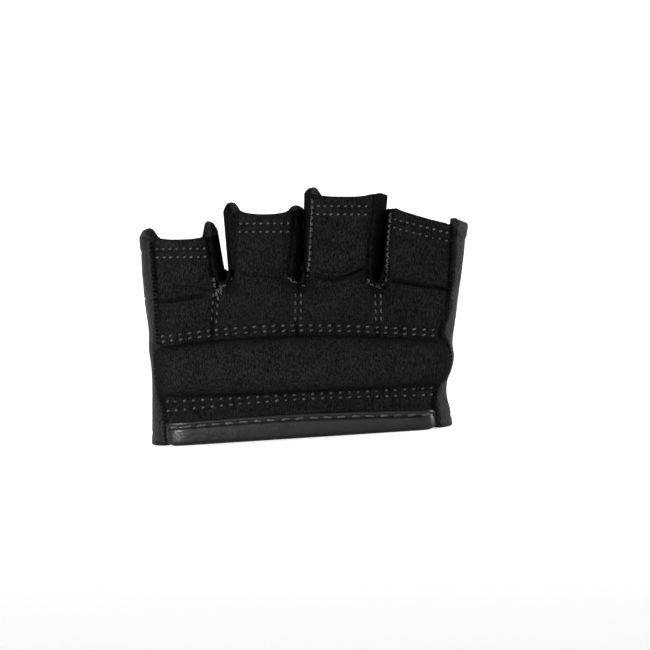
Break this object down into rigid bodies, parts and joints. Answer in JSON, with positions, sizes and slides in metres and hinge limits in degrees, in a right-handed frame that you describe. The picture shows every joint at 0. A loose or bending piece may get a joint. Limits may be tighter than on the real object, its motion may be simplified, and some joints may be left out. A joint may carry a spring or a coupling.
{
  "type": "hand grip",
  "caption": "Slip-on half-finger hand grip: padded fabric palm, leather back, open finger stalls that flex, stitched seams and a bound hem.",
  "frame": {"origin": "centre of the wrist opening, level with the hem that the grip stands on", "axes": "+Z from the wrist towards the fingertips, -Y out of the palm, +Y out of the back of the hand, +X towards the thumb side (a right hand's grip)"},
  "size_m": [0.1031, 0.0397, 0.0773],
  "materials": {
    "palm_fabric": "matt black knitted fabric",
    "gusset_fabric": "matt black stretch fabric, darker than the palm",
    "lining_fabric": "matt black brushed lining",
    "leather": "smooth black synthetic leather with a satin sheen",
    "foam": "closed-cell foam, hidden inside its cover",
    "thread": "dark grey sewing thread with a slight sheen"
  },
  "bodies": {
    "sleeve": {"palm_panel": "palm_fabric", "back_panel": "leather", "back_lining": "lining_fabric", "palm_pad_cover": "palm_fabric", "palm_pad_foam": "foam", "knuckle_pad_cover": "leather", "knuckle_pad_foam": "foam", "palm_hem_binding": "leather", "little_ring_web": "gusset_fabric", "ring_middle_web": "gusset_fabric", "middle_index_web": "gusset_fabric", "pad_upper_stitches": "thread", "pad_lower_stitches": "thread", "hem_binding_stitches": "thread", "channel_stitches": "thread", "web_overlock_stitches": "thread", "knuckle_pad_stitches": "thread", "back_hem_stitches": "thread"},
    "little_stall": {"little_palm_sleeve": "palm_fabric", "little_back_sleeve": "leather", "little_right_gusset": "gusset_fabric", "little_hem_stitches": "thread"},
    "ring_stall": {"ring_palm_sleeve": "palm_fabric", "ring_back_sleeve": "leather", "ring_left_gusset": "gusset_fabric", "ring_right_gusset": "gusset_fabric", "ring_hem_stitches": "thread"},
    "middle_stall": {"middle_palm_sleeve": "palm_fabric", "middle_back_sleeve": "leather", "middle_left_gusset": "gusset_fabric", "middle_right_gusset": "gusset_fabric", "middle_hem_stitches": "thread"},
    "index_stall": {"index_palm_sleeve": "palm_fabric", "index_back_sleeve": "leather", "index_left_gusset": "gusset_fabric", "index_hem_stitches": "thread"}
  },
  "joints": [
    {"name": "little_stall_flex", "type": "hinge", "parent": "sleeve", "child": "little_stall", "pos_m": [-0.03328, -0.014, 0.05445], "axis": [0.9976, 0, -0.0698], "range_deg": [0, 70]},
    {"name": "ring_stall_flex", "type": "hinge", "parent": "sleeve", "child": "ring_stall", "pos_m": [-0.0083, -0.014, 0.05471], "axis": [0.9976, 0, -0.0698], "range_deg": [0, 70]},
    {"name": "middle_stall_flex", "type": "hinge", "parent": "sleeve", "child": "middle_stall", "pos_m": [0.01574, -0.014, 0.05303], "axis": [0.9976, 0, -0.0698], "range_deg": [0, 70]},
    {"name": "index_stall_flex", "type": "hinge", "parent": "sleeve", "child": "index_stall", "pos_m": [0.04094, -0.014, 0.05077], "axis": [0.9976, 0, -0.0698], "range_deg": [0, 70]}
  ]
}
